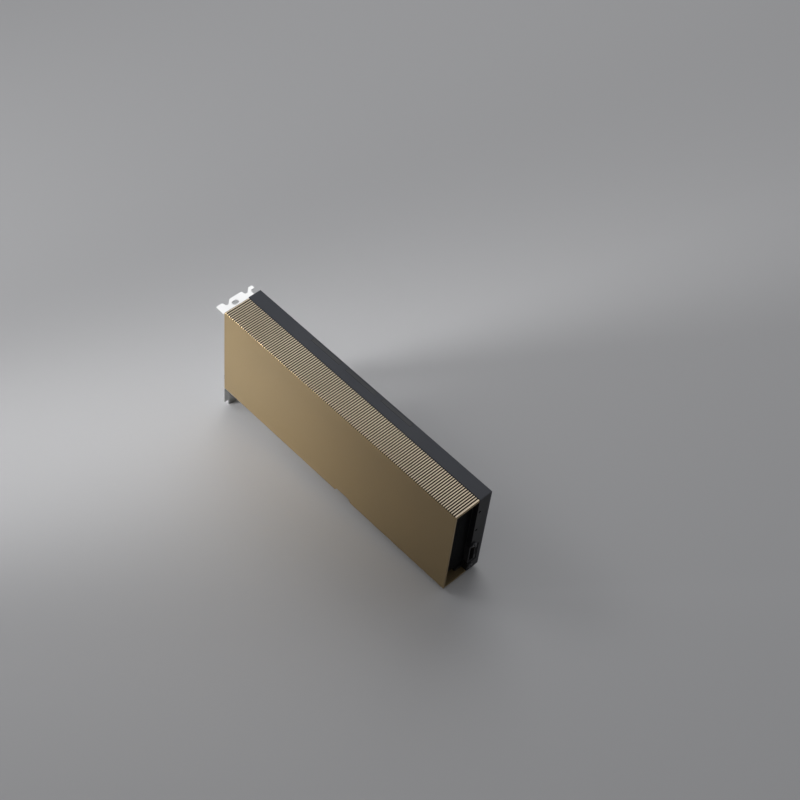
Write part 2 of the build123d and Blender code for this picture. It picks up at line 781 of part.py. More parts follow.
# Screws: each set is one node of like steel screws with a hexagon socket in the head
def build_screws(head_plane, places, head_radius, head_height, length):
    """Screws whose heads stand on the plane, along its normal, with their shanks behind it."""
    with BuildPart() as screws:
        with BuildSketch(head_plane):
            with Locations(places):
                screw_round(head_radius)
        extrude(amount=head_height)
        with BuildSketch(head_plane):
            with Locations(places):
                screw_round(screw_radius)
        extrude(amount=-length)
        with BuildSketch(head_plane.offset(head_height)):
            with Locations(places):
                RegularPolygon(socket_width / 2, 6, major_radius=False)
        extrude(amount=-socket_depth, mode=Mode.SUBTRACT)
    return screws


# A plane that faces the back: its first axis runs against X, its second along Z
facing_back = Plane(origin=(0, 0, 0), x_dir=(-1, 0, 0), z_dir=(0, 1, 0))
facing_bracket = Plane(origin=(0, 0, 0), x_dir=(0, -1, 0), z_dir=(-1, 0, 0))
tail_screw_places = [(base_y, upper_tail_screw_z), (base_y, lower_tail_screw_z)]
tail_screws = build_screws(
    Plane.YZ.offset(tail_x),
    tail_screw_places,
    screw_head_radius,
    screw_head_height,
    tail_plate_thickness + thread_depth - head_clearance,
)
save_piece(tail_screws, "tail_screws")

bracket_screws = build_screws(
    facing_bracket.offset(-bracket_face_x),
    [(-rail_y, low_bracket_screw_z), (-rail_y, top_bracket_screw_z)],
    screw_head_radius,
    screw_head_height,
    bracket_thickness + thread_depth - head_clearance,
)
save_piece(bracket_screws, "bracket_screws")

backplate_screws = build_screws(
    facing_back.offset(back_y - screw_head_height),
    [(-x, z) for x, z in rail_screws],
    screw_head_radius,
    screw_head_height,
    back_height - screw_head_height + board_thickness + thread_depth - head_clearance,
)
save_piece(backplate_screws, "backplate_screws")

retention_screws = build_screws(
    facing_back.offset(spring_back_y),
    [(-x, z) for x, z in posts],
    retention_head_radius,
    screw_head_height,
    spring_plate_thickness + board_thickness + thread_depth - head_clearance,
)
save_piece(retention_screws, "retention_screws")

with BuildPart() as shroud_screws:
    with BuildSketch(Plane.XY.offset(shroud_low_z)):
        with Locations([(x, ledge_y) for x in low_screw_x]):
            screw_round(screw_head_radius)
    extrude(amount=flat_head_height, taper=45)
    with BuildSketch(Plane.XY.offset(shroud_low_z)):
        with Locations([(x, ledge_y) for x in low_screw_x]):
            screw_round(screw_radius)
    extrude(amount=shroud_wall + ledge_thickness)
    with BuildSketch(Plane.XY.offset(shroud_low_z)):
        with Locations([(x, ledge_y) for x in low_screw_x]):
            RegularPolygon(socket_width / 2, 6, major_radius=False)
    extrude(amount=socket_depth, mode=Mode.SUBTRACT)
save_piece(shroud_screws, "shroud_screws")
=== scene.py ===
import math

import bmesh
import bpy
import numpy
from mathutils import Matrix, Vector


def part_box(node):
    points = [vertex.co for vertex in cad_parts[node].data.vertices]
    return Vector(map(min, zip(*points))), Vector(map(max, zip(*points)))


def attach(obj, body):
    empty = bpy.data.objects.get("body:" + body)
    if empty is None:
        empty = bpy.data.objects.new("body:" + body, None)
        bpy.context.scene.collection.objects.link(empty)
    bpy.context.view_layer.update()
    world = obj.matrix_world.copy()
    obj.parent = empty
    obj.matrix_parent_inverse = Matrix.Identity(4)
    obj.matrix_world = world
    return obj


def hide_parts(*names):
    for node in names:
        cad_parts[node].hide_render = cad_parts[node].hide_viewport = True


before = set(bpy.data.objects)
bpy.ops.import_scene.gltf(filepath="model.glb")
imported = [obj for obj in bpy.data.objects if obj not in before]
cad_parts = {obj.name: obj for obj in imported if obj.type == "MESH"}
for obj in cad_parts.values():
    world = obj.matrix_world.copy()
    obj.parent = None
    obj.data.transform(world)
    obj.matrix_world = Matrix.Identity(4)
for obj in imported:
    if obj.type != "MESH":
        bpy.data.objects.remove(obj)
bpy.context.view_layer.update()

# Camera: it stands where the photograph was taken, above the tail and the gold front.
# Its place and turn were worked out from the card's own corners.
camera_place = Vector((0.63131, -0.62156, 1.12176))
camera_right = Vector((0.6880, 0.7213, 0.0806))
camera_forward = Vector((-0.4155, 0.4824, -0.7711))
camera_back = -camera_forward.normalized()
camera_up = camera_back.cross(camera_right).normalized()
camera_side = camera_up.cross(camera_back)
camera_data = bpy.data.cameras.new("camera")
camera_data.sensor_width = 36.0
camera_data.lens = 75.07
camera = bpy.data.objects.new("camera", camera_data)
camera_turn = Matrix((camera_side, camera_up, camera_back)).transposed()
camera.matrix_world = Matrix.Translation(camera_place) @ camera_turn.to_4x4()
bpy.context.scene.collection.objects.link(camera)
bpy.context.scene.camera = camera

# Floor: a plain pale sheet. The card leans on its bracket's tongues and its contact edge,
# so the floor is tilted to touch both, as the card rests in the photograph.
mm = 0.001
floor_half = 6.0
floor_gap = 0.05 * mm
floor_grey = (0.56, 0.56, 0.57, 1)
edge_slice = 0.1 * mm
tongue_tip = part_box("io_bracket")[0]
board_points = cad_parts["circuit_board"].data.vertices
edge_end_x = max(vertex.co.x for vertex in board_points if vertex.co.z < edge_slice)
floor_tilt = math.atan2(-tongue_tip.z, edge_end_x - tongue_tip.x)
floor_corners = [
    (-floor_half, -floor_half, 0),
    (floor_half, -floor_half, 0),
    (floor_half, floor_half, 0),
    (-floor_half, floor_half, 0),
]
floor_mesh = bpy.data.meshes.new("floor")
floor_mesh.from_pydata(floor_corners, [], [(0, 1, 2, 3)])
floor = bpy.data.objects.new("floor", floor_mesh)
floor.rotation_euler = (0, -floor_tilt, 0)
floor.location = (edge_end_x, 0, -floor_gap)
bpy.context.scene.collection.objects.link(floor)
floor_paper = bpy.data.materials.new("floor paper")
floor_paper.use_nodes = True
floor_shader = floor_paper.node_tree.nodes["Principled BSDF"]
floor_shader.inputs["Base Color"].default_value = floor_grey
floor_shader.inputs["Roughness"].default_value = 0.8
floor_shader.inputs["Specular IOR Level"].default_value = 0.2
floor_mesh.materials.append(floor_paper)

# Light: a pale room that is brighter above the bracket end and dimmer past the tail.
# Two soft lamps stand high past the bracket end, one behind the card and one before it, and
# a small low one lights the gold front at that end.
room_bright_side = Vector((-0.50, 0.40, 0.77))
room_dim = 0.04
room_bright = 0.40
room_dim_from = -0.6
room_bright_from = 1.0
room_white = (0.97, 0.98, 1.0, 1)
world = bpy.data.worlds.new("room")
world.use_nodes = True
room = world.node_tree
room_background = room.nodes["Background"]
room_background.inputs["Color"].default_value = room_white
room_direction = room.nodes.new("ShaderNodeTexCoord")
room_side = room.nodes.new("ShaderNodeVectorMath")
room_side.operation = "DOT_PRODUCT"
room_side.inputs[1].default_value = room_bright_side
room_level = room.nodes.new("ShaderNodeMapRange")
room_level.inputs["From Min"].default_value = room_dim_from
room_level.inputs["From Max"].default_value = room_bright_from
room_level.inputs["To Min"].default_value = room_dim
room_level.inputs["To Max"].default_value = room_bright
room.links.new(room_direction.outputs["Generated"], room_side.inputs[0])
room.links.new(room_side.outputs["Value"], room_level.inputs["Value"])
room.links.new(room_level.outputs["Result"], room_background.inputs["Strength"])
bpy.context.scene.world = world
bpy.context.scene.view_settings.view_transform = "Standard"


def soft_lamp(name, place, target, side, power, spread):
    """A square soft lamp at a place, turned to a target, with its beam's spread in degrees."""
    lamp = bpy.data.lights.new(name, "AREA")
    lamp.shape = "SQUARE"
    lamp.size = side
    lamp.energy = power
    lamp.spread = math.radians(spread)
    lamp_object = bpy.data.objects.new(name, lamp)
    lamp_object.location = place
    lamp_object.rotation_euler = (Vector(target) - Vector(place)).to_track_quat("-Z", "Y").to_euler()
    bpy.context.scene.collection.objects.link(lamp_object)


soft_lamp(
    "key lamp",
    place=(-0.80, 0.90, 1.20),
    target=(0.0, 0.0, 0.05),
    side=1.2,
    power=4.3,
    spread=150,
)
soft_lamp(
    "fill lamp",
    place=(-0.85, -0.55, 0.80),
    target=(-0.40, -0.25, 0.0),
    side=0.5,
    power=0.6,
    spread=70,
)
soft_lamp(
    "front lamp",
    place=(-0.34, -0.55, 0.13),
    target=(-0.07, -0.035, 0.055),
    side=0.2,
    power=0.30,
    spread=30,
)

# Circuit board: the card's base, a pressed glass laminate with a dark green solder mask.
# The mask ends above the contacts, and the sawn edges show the bare laminate.
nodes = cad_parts
mask_green = (0.008, 0.034, 0.020)
trace_green = (0.013, 0.050, 0.030, 1)
bare_laminate = (0.115, 0.098, 0.045, 1)
mask_low_edge = 6.2 * mm
trace_pitch = 1.0 * mm
trace_share = 0.4
trace_shift = 1.0
edge_facing = 0.5


def new_group(name, inputs, outputs):
    """An empty shader node group with named sockets, and its two end nodes."""
    group = bpy.data.node_groups.new(name, "ShaderNodeTree")
    for label, kind, value in inputs:
        socket = group.interface.new_socket(label, in_out="INPUT", socket_type=kind)
        socket.default_value = value
    for label, kind in outputs:
        group.interface.new_socket(label, in_out="OUTPUT", socket_type=kind)
    start = group.nodes.new("NodeGroupInput")
    end = group.nodes.new("NodeGroupOutput")
    return group, start, end


def surface_grain_group():
    """Fine grain: a bumped normal from stretched noise."""
    group, start, end = new_group(
        "surface grain",
        [
            ("Coordinates", "NodeSocketVector", (0, 0, 0)),
            ("Stretch", "NodeSocketVector", (1, 1, 1)),
            ("Scale", "NodeSocketFloat", 1500.0),
            ("Depth", "NodeSocketFloat", 0.00002),
            ("Strength", "NodeSocketFloat", 0.3),
        ],
        [("Normal", "NodeSocketVector")],
    )
    stretch = group.nodes.new("ShaderNodeVectorMath")
    stretch.operation = "MULTIPLY"
    noise = group.nodes.new("ShaderNodeTexNoise")
    noise.inputs["Detail"].default_value = 3.0
    bump = group.nodes.new("ShaderNodeBump")
    link = group.links.new
    link(start.outputs["Coordinates"], stretch.inputs[0])
    link(start.outputs["Stretch"], stretch.inputs[1])
    link(stretch.outputs["Vector"], noise.inputs["Vector"])
    link(start.outputs["Scale"], noise.inputs["Scale"])
    link(noise.outputs["Fac"], bump.inputs["Height"])
    link(start.outputs["Depth"], bump.inputs["Distance"])
    link(start.outputs["Strength"], bump.inputs["Strength"])
    link(bump.outputs["Normal"], end.inputs["Normal"])
    return group


def tone_drift_group():
    """Slow drift of a colour and of a roughness over a surface."""
    group, start, end = new_group(
        "tone drift",
        [
            ("Coordinates", "NodeSocketVector", (0, 0, 0)),
            ("Color", "NodeSocketColor", (0.5, 0.5, 0.5, 1)),
            ("Scale", "NodeSocketFloat", 14.0),
            ("Spread", "NodeSocketFloat", 0.06),
            ("Roughness low", "NodeSocketFloat", 0.3),
            ("Roughness high", "NodeSocketFloat", 0.4),
        ],
        [("Color", "NodeSocketColor"), ("Roughness", "NodeSocketFloat")],
    )
    noise = group.nodes.new("ShaderNodeTexNoise")
    noise.inputs["Detail"].default_value = 5.0
    centred = group.nodes.new("ShaderNodeMath")
    centred.operation = "SUBTRACT"
    centred.inputs[1].default_value = 0.5
    factor = group.nodes.new("ShaderNodeMath")
    factor.operation = "MULTIPLY_ADD"
    factor.inputs[2].default_value = 1.0
    tint = group.nodes.new("ShaderNodeVectorMath")
    tint.operation = "SCALE"
    rough = group.nodes.new("ShaderNodeMapRange")
    rough.inputs["From Min"].default_value = 0.3
    rough.inputs["From Max"].default_value = 0.7
    link = group.links.new
    link(start.outputs["Coordinates"], noise.inputs["Vector"])
    link(start.outputs["Scale"], noise.inputs["Scale"])
    link(noise.outputs["Fac"], centred.inputs[0])
    link(centred.outputs["Value"], factor.inputs[0])
    link(start.outputs["Spread"], factor.inputs[1])
    link(start.outputs["Color"], tint.inputs[0])
    link(factor.outputs["Value"], tint.inputs["Scale"])
    link(noise.outputs["Fac"], rough.inputs["Value"])
    link(start.outputs["Roughness low"], rough.inputs["To Min"])
    link(start.outputs["Roughness high"], rough.inputs["To Max"])
    link(tint.outputs["Vector"], end.inputs["Color"])
    link(rough.outputs["Result"], end.inputs["Roughness"])
    return group


surface_grain = surface_grain_group()
tone_drift = tone_drift_group()


def finish(name, color, metallic, roughness, grain, spread=0.06, stretch=(1, 1, 1)):
    """A material whose colour and roughness drift. The grain is a scale and a strength."""
    material = bpy.data.materials.new(name)
    material.use_nodes = True
    tree = material.node_tree
    shader = tree.nodes["Principled BSDF"]
    shader.inputs["Metallic"].default_value = metallic
    coordinates = tree.nodes.new("ShaderNodeTexCoord")
    grain_node = tree.nodes.new("ShaderNodeGroup")
    grain_node.node_tree = surface_grain
    grain_node.name = "grain"
    grain_node.inputs["Scale"].default_value = grain[0]
    grain_node.inputs["Strength"].default_value = grain[1]
    grain_node.inputs["Stretch"].default_value = stretch
    tone = tree.nodes.new("ShaderNodeGroup")
    tone.node_tree = tone_drift
    tone.name = "tone"
    tone.inputs["Color"].default_value = (*color, 1)
    tone.inputs["Spread"].default_value = spread
    tone.inputs["Roughness low"].default_value = roughness[0]
    tone.inputs["Roughness high"].default_value = roughness[1]
    tree.links.new(coordinates.outputs["Object"], grain_node.inputs["Coordinates"])
    tree.links.new(coordinates.outputs["Object"], tone.inputs["Coordinates"])
    tree.links.new(tone.outputs["Color"], shader.inputs["Base Color"])
    tree.links.new(tone.outputs["Roughness"], shader.inputs["Roughness"])
    tree.links.new(grain_node.outputs["Normal"], shader.inputs["Normal"])
    return material


def dress(names, material):
    """Gives solids of the model a finish in place of their plain one."""
    for name in names:
        for material_slot in nodes[name].material_slots:
            material_slot.material = material


def value_step(tree, operation, first, second):
    """A math node on two values, each a socket or a number."""
    node = tree.nodes.new("ShaderNodeMath")
    node.operation = operation
    for place, value in enumerate((first, second)):
        if isinstance(value, (int, float)):
            node.inputs[place].default_value = value
        else:
            tree.links.new(value, node.inputs[place])
    return node.outputs["Value"]


def mix_colors(tree, factor, first, second):
    """A colour mixed from two, each a socket or a plain colour."""
    node = tree.nodes.new("ShaderNodeMix")
    node.data_type = "RGBA"
    tree.links.new(factor, node.inputs["Factor"])
    for label, value in (("A", first), ("B", second)):
        if isinstance(value, tuple):
            node.inputs[label].default_value = value
        else:
            tree.links.new(value, node.inputs[label])
    return node.outputs["Result"]


board_finish = finish(
    "solder mask and laminate",
    mask_green,
    metallic=0.0,
    roughness=(0.26, 0.38),
    grain=(700.0, 0.2),
    spread=0.15,
)
board_tree = board_finish.node_tree
board_coordinates = board_tree.nodes.new("ShaderNodeTexCoord")
board_spot = board_tree.nodes.new("ShaderNodeSeparateXYZ")
board_tree.links.new(board_coordinates.outputs["Object"], board_spot.inputs["Vector"])
board_geometry = board_tree.nodes.new("ShaderNodeNewGeometry")
board_facing = board_tree.nodes.new("ShaderNodeSeparateXYZ")
board_tree.links.new(board_geometry.outputs["Normal"], board_facing.inputs["Vector"])
shifted_x = value_step(board_tree, "ADD", board_spot.outputs["X"], trace_shift)
trace_place = value_step(board_tree, "MODULO", shifted_x, trace_pitch)
on_trace = value_step(board_tree, "LESS_THAN", trace_place, trace_share * trace_pitch)
mask_color = board_tree.nodes["tone"].outputs["Color"]
traced = mix_colors(board_tree, on_trace, mask_color, trace_green)
facing_cover = value_step(board_tree, "ABSOLUTE", board_facing.outputs["Y"], 0.0)
on_edge = value_step(board_tree, "LESS_THAN", facing_cover, edge_facing)
below_mask = value_step(board_tree, "LESS_THAN", board_spot.outputs["Z"], mask_low_edge)
is_bare = value_step(board_tree, "MAXIMUM", on_edge, below_mask)
board_color = mix_colors(board_tree, is_bare, traced, bare_laminate)
board_tree.links.new(board_color, board_tree.nodes["Principled BSDF"].inputs["Base Color"])
dress(["circuit_board"], board_finish)

# Contacts and pins: copper plated with hard gold, on the card edge, the bridge tabs and in
# the power socket. They are etched or pressed, then plated.
plating = finish(
    "hard gold plating",
    (0.83, 0.62, 0.26),
    metallic=1.0,
    roughness=(0.16, 0.28),
    grain=(900.0, 0.15),
    stretch=(1, 1, 0.1),
)
dress(["card_edge_contacts", "bridge_contacts", "power_pins"], plating)

# Processor package: a green laminate carrier with a steel frame round its rim. The die and
# the memory stacks are bare polished silicon, soldered to the carrier. A stamped steel spring
# plate behind the board presses the package to the cooler.
carrier = finish(
    "chip carrier",
    (0.02, 0.09, 0.045),
    metallic=0.0,
    roughness=(0.4, 0.5),
    grain=(900.0, 0.2),
    spread=0.10,
)
silicon = finish(
    "polished silicon",
    (0.12, 0.13, 0.16),
    metallic=0.6,
    roughness=(0.12, 0.2),
    grain=(900.0, 0.05),
    spread=0.10,
)
plain_steel = finish(
    "zinc plated steel",
    (0.60, 0.60, 0.62),
    metallic=1.0,
    roughness=(0.25, 0.35),
    grain=(1500.0, 0.15),
)
memory_names = [name for name in nodes if name.startswith("memory_stack")]
dress(["gpu_package"], carrier)
dress(["gpu_die"] + memory_names, silicon)
dress(["package_stiffener", "spring_plate"], plain_steel)

# Power supply: moulded inductors, power stages and capacitors soldered to the board.
# Soft grey pads fill the gap from them to the cooler's base.
chip_body = finish(
    "moulded chip body",
    (0.035, 0.035, 0.038),
    metallic=0.0,
    roughness=(0.5, 0.65),
    grain=(1500.0, 0.3),
    spread=0.08,
)
soft_pad = finish(
    "soft thermal pad",
    (0.40, 0.43, 0.47),
    metallic=0.0,
    roughness=(0.7, 0.85),
    grain=(900.0, 0.4),
    spread=0.08,
)
dress(["inductors", "power_stages", "capacitors"], chip_body)
dress(["thermal_pads"], soft_pad)

# Cooler: a milled aluminium base with a copper chamber let into it, and thin rolled fins.
# Base and fins are coloured near black, a painted shade that keeps the open mouth dark.
mouth_shade_black = finish(
    "near-black aluminium painting the mouth shade",
    (0.030, 0.031, 0.034),
    metallic=0.75,
    roughness=(0.38, 0.5),
    grain=(900.0, 0.2),
    spread=0.12,
    stretch=(0.1, 1, 1),
)
copper = finish(
    "plain copper",
    (0.80, 0.42, 0.26),
    metallic=1.0,
    roughness=(0.25, 0.4),
    grain=(900.0, 0.2),
    spread=0.10,
)
dress(["heatsink_base", "fin_stack"], mouth_shade_black)
dress(["vapour_chamber"], copper)


# Rails and tail plate: extruded aluminium bars and a cut end plate, powder coated black.
# They carry the board, the shroud and the back cover.
weld_distance = 0.002 * mm
round_steps = 2
round_from_degrees = 40


def soften(name, width):
    """Rounds a solid's sharp edges a little, as a deburred part has them."""
    weld = nodes[name].modifiers.new("weld", "WELD")
    weld.merge_threshold = weld_distance
    bevel = nodes[name].modifiers.new("bevel", "BEVEL")
    bevel.width = width
    bevel.segments = round_steps
    bevel.limit_method = "ANGLE"
    bevel.angle_limit = math.radians(round_from_degrees)
    bevel.face_strength_mode = "FSTR_ALL"
    normals = nodes[name].modifiers.new("flat faces", "WEIGHTED_NORMAL")
    normals.keep_sharp = True
    normals.use_face_influence = True


black_coat = finish(
    "black powder coat",
    (0.009, 0.0095, 0.011),
    metallic=0.0,
    roughness=(0.45, 0.58),
    grain=(1800.0, 0.35),
    spread=0.10,
)
black_coat.node_tree.nodes["Principled BSDF"].inputs["Specular IOR Level"].default_value = 0.3
dress(["top_rail", "bottom_rail", "tail_plate"], black_coat)
soften("top_rail", 0.15 * mm)
soften("bottom_rail", 0.15 * mm)

# Power connector: a glass-filled black moulding with a 12-way and a 4-way cavity.
# It is soldered to the board behind a window in the tail plate.
black_moulding = finish(
    "black moulding",
    (0.018, 0.018, 0.020),
    metallic=0.0,
    roughness=(0.42, 0.55),
    grain=(1200.0, 0.4),
    spread=0.08,
)
dress(["power_connector"], black_moulding)
soften("power_connector", 0.15 * mm)

# Back cover: one dark blue-grey plate, folded at the top into the lip beside the ribs.
# It is powder coated, and screwed through the board to the rails.
slate_coat = finish(
    "slate powder coat",
    (0.030, 0.034, 0.046),
    metallic=0.0,
    roughness=(0.42, 0.54),
    grain=(1800.0, 0.35),
    spread=0.10,
)
slate_coat.node_tree.nodes["Principled BSDF"].inputs["Specular IOR Level"].default_value = 0.35
dress(["backplate"], slate_coat)
soften("backplate", 0.1 * mm)

# Bridge covers: three moulded black caps, flush in the ports of the lip.
# They clip over the board's tabs and pull out when cards are joined.
cap_moulding = finish(
    "cap moulding",
    (0.026, 0.028, 0.034),
    metallic=0.0,
    roughness=(0.48, 0.6),
    grain=(1200.0, 0.4),
    spread=0.08,
)
for cover_number in (1, 2, 3):
    dress([f"bridge_cover_{cover_number}"], cap_moulding)
    soften(f"bridge_cover_{cover_number}", 0.08 * mm)

# Front shroud: the aluminium U that forms the air duct, ribbed across its top wall.
# Extruded, milled, bead blasted and anodised champagne gold; its floor is joggled for the latch.
shroud_low, shroud_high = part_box("front_shroud")
shroud_wall = 1.7 * mm
ribbed_wall = 2.8 * mm
edge_round = 0.8 * mm
foot_bevel = 0.45 * mm
end_bevel = 0.12 * mm
flank_inset = 6 * mm
lip_width = 0.15 * mm
lip_drop = 0.1 * mm
arc_points = 8
seam_distance = 0.0005 * mm
rib_pitch = 2.175 * mm
last_rib_width = 1.4 * mm
groove_width = 1.1 * mm
groove_depth = 1.2 * mm
rib_bevel = 0.12 * mm
wall_lean = 0.03 * mm
latch_middle_x = 77.9 * mm
latch_half_foot = 9.5 * mm
latch_half_top = 7.0 * mm
latch_depth = 3.1 * mm
shroud_length = shroud_high.x - shroud_low.x
groove_count = int((shroud_length - last_rib_width - groove_width) / rib_pitch) + 1


def make_object(name, mesh, material, sharp_degrees=30):
    """Links a finished mesh, smooth shaded up to an angle, and lets it ride on the card."""
    piece = bpy.data.objects.new(name, mesh)
    bpy.context.scene.collection.objects.link(piece)
    mesh.materials.append(material)
    mesh.shade_smooth()
    mesh.set_sharp_from_angle(angle=math.radians(sharp_degrees))
    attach(piece, "root")
    return piece


def groove_profile():
    """Places along the card and the depth of the rib profile at each."""
    places = []
    depths = []
    for number in range(groove_count):
        start = shroud_low.x + number * rib_pitch
        end = start + groove_width
        if number > 0:
            places += [start - rib_bevel, start, start + wall_lean, start + wall_lean + rib_bevel]
            depths += [0, rib_bevel, groove_depth - rib_bevel, groove_depth]
        places += [end - wall_lean - rib_bevel, end - wall_lean, end, end + rib_bevel]
        depths += [groove_depth, groove_depth - rib_bevel, rib_bevel, 0]
    return places, depths


def corner_arc(y, z, radius, start, end, count):
    """Points of an arc in the YZ plane, from one angle to another in degrees."""
    angles = [math.radians(start + (end - start) * i / (count - 1)) for i in range(count)]
    return [(y + radius * math.cos(a), z + radius * math.sin(a)) for a in angles]


def shroud_section(depth, raised, inset):
    """The U section at one place: how deep the rib profile is, the joggle's rise, the end bevel."""
    front = shroud_low.y + inset
    low = shroud_low.z + raised + inset
    top = shroud_high.z - inset
    back = shroud_high.y
    points = [(back, low), (front + foot_bevel, low), (front, low + foot_bevel)]
    points += [(front, shroud_low.z + flank_inset), (front, shroud_high.z - flank_inset)]
    points += corner_arc(front + edge_round, top - edge_round, edge_round, 180, 90, arc_points)
    points += [(back - lip_width, top), (back, top - lip_drop)]
    cut = [(y, min(z, shroud_high.z - depth)) for y, z in points]
    inner_front = shroud_low.y + shroud_wall
    inner_low = shroud_low.z + raised + shroud_wall
    inner_top = shroud_high.z - ribbed_wall
    cut += [(back, inner_top), (inner_front, inner_top), (inner_front, inner_low), (back, inner_low)]
    return cut


def loft_sections(name, places, sections):
    """A closed mesh through like sections along X, capped at both ends."""
    count = len(sections[0])
    vertices = []
    faces = []
    for x, section in zip(places, sections):
        vertices += [(x, y, z) for y, z in section]
    for i in range(len(places) - 1):
        for j in range(count):
            k = (j + 1) % count
            faces.append((i * count + j, i * count + k, (i + 1) * count + k, (i + 1) * count + j))
    faces.append(tuple(reversed(range(count))))
    last = (len(places) - 1) * count
    faces.append(tuple(last + j for j in range(count)))
    mesh = bpy.data.meshes.new(name)
    mesh.from_pydata(vertices, [], faces)
    work = bmesh.new()
    work.from_mesh(mesh)
    bmesh.ops.remove_doubles(work, verts=work.verts, dist=seam_distance)
    bmesh.ops.recalc_face_normals(work, faces=work.faces)
    work.to_mesh(mesh)
    work.free()
    return mesh


groove_places, groove_depths = groove_profile()
latch_offsets = (-latch_half_foot, -latch_half_top, latch_half_top, latch_half_foot)
latch_places = [latch_middle_x + offset for offset in latch_offsets]
end_places = [shroud_low.x, shroud_low.x + end_bevel, shroud_high.x - end_bevel, shroud_high.x]
shroud_places = sorted(groove_places + latch_places + end_places)
shroud_sections = []
for place in shroud_places:
    depth = float(numpy.interp(place, groove_places, groove_depths))
    raised = float(numpy.interp(place, latch_places, [0, latch_depth, latch_depth, 0]))
    inset = end_bevel if place in (shroud_low.x, shroud_high.x) else 0
    shroud_sections.append(shroud_section(depth, raised, inset))
shroud_mesh = loft_sections("ribbed_shroud", shroud_places, shroud_sections)

# The groove attribute is a painted-shade mask: it grows with depth below the rib tops, on the top wall
# only.
floor_limit = 1.01
crest_limit = 0.15
plain_edge = 0.1 * mm
groove_shade_mask = shroud_mesh.attributes.new("groove", "FLOAT", "POINT")
crest_mask = shroud_mesh.attributes.new("crest", "FLOAT", "POINT")
for vertex in shroud_mesh.vertices:
    sunk = (shroud_high.z - vertex.co.z) / groove_depth
    inside_ends = shroud_low.x + end_bevel / 2 < vertex.co.x < shroud_high.x - end_bevel / 2
    behind_front = vertex.co.y > shroud_low.y + plain_edge
    on_top = sunk < floor_limit and behind_front and inside_ends
    groove_shade_mask.data[vertex.index].value = min(max(sunk, 0), 1) if on_top else 0
    crest_mask.data[vertex.index].value = 1 if sunk < crest_limit and on_top else 0

gold = finish(
    "champagne gold anodised",
    (0.375, 0.278, 0.147),
    metallic=0.85,
    roughness=(0.36, 0.44),
    grain=(2600.0, 0.25),
    spread=0.05,
)
gold_tree = gold.node_tree
# Painted shade: the grooves turn dark brown with depth, standing in for the shade between the ribs.
groove_shade_brown = (0.028, 0.019, 0.013, 1)
# The rib tops get a paler, less yellow gold than the rest of the shroud.
crest_gold = (0.54, 0.455, 0.345, 1)
shade_from_depth = 0.12
shade_full_depth = 0.6
groove_shade_fact = gold_tree.nodes.new("ShaderNodeAttribute")
groove_shade_fact.attribute_name = "groove"
crest_fact = gold_tree.nodes.new("ShaderNodeAttribute")
crest_fact.attribute_name = "crest"
groove_shade_share = gold_tree.nodes.new("ShaderNodeMapRange")
groove_shade_share.inputs["From Min"].default_value = shade_from_depth
groove_shade_share.inputs["From Max"].default_value = shade_full_depth
gold_tree.links.new(groove_shade_fact.outputs["Fac"], groove_shade_share.inputs["Value"])
plain_gold = gold_tree.nodes["tone"].outputs["Color"]
crested = mix_colors(gold_tree, crest_fact.outputs["Fac"], plain_gold, crest_gold)
shroud_color = mix_colors(gold_tree, groove_shade_share.outputs["Result"], crested, groove_shade_brown)
gold_tree.links.new(shroud_color, gold_tree.nodes["Principled BSDF"].inputs["Base Color"])
ribbed_shroud = make_object("ribbed_shroud", shroud_mesh, gold)
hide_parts("front_shroud")

# Bracket: folded bright steel, vented over the duct, with two slot notches in its flange.
# Sheared, punched and brushed along its length, then held to the rails by two screws.
bracket_steel = finish(
    "bright brushed steel",
    (0.62, 0.62, 0.62),
    metallic=1.0,
    roughness=(0.26, 0.36),
    grain=(900.0, 0.3),
    spread=0.04,
    stretch=(1, 1, 0.04),
)
dress(["io_bracket"], bracket_steel)
soften("io_bracket", 0.1 * mm)

# Screws: small steel screws with a hexagon socket and rolled threads. Their zinc plating is
# black, or bright in the bracket. Pan heads stand on the plates, and flat heads sink into the
# shroud's floor.
screw_steel = finish(
    "black zinc plating",
    (0.085, 0.086, 0.092),
    metallic=1.0,
    roughness=(0.3, 0.42),
    grain=(1500.0, 0.15),
    spread=0.08,
)
thread_pitch = 0.5 * mm
thread_cut = 0.16 * mm
shank_radius = 1.18 * mm
socket_half_width = 0.95 * mm
socket_deep = 0.7 * mm
socket_lead = 0.06 * mm
head_height = 1.3 * mm
rim_round = 0.35 * mm
under_bevel = 0.1 * mm
flat_rim = 0.12 * mm
plain_neck = 0.4 * mm
screw_segments = 24
thread_rings = 6
same_point = 0.001 * mm


def loose_boxes(name):
    """The box of each separate solid in a node."""
    work = bmesh.new()
    work.from_mesh(nodes[name].data)
    bmesh.ops.remove_doubles(work, verts=work.verts, dist=same_point)
    boxes = []
    left = set(work.verts)
    while left:
        front = [left.pop()]
        island = []
        while front:
            point = front.pop()
            island.append(point.co.copy())
            for edge in point.link_edges:
                other = edge.other_vert(point)
                if other in left:
                    left.remove(other)
                    front.append(other)
        low = Vector([min(co[i] for co in island) for i in range(3)])
        high = Vector([max(co[i] for co in island) for i in range(3)])
        boxes.append((low, high))
    work.free()
    return sorted(boxes, key=lambda box: tuple(box[0]))


def screw_rings(head_radius, length, flat):
    """Radius and height of each ring from the thread's tip to the socket's rim, along +Z."""
    rings = []
    thread_end = length - head_height - plain_neck
    steps = int(thread_end / thread_pitch * thread_rings)
    for step in range(steps + 1):
        rings.append(("thread", step * thread_end / steps))
    under = length - head_height
    if flat:
        cone = head_radius - shank_radius
        rings += [(shank_radius, length - cone), (head_radius, length - flat_rim)]
        rings.append((head_radius, length))
    else:
        rings += [(shank_radius, under), (head_radius - under_bevel, under)]
        rings.append((head_radius, under + under_bevel))
        for turn in (0, 30, 60, 90):
            angle = math.radians(turn)
            inward = head_radius - rim_round + rim_round * math.cos(angle)
            rings.append((inward, length - rim_round + rim_round * math.sin(angle)))
    return rings


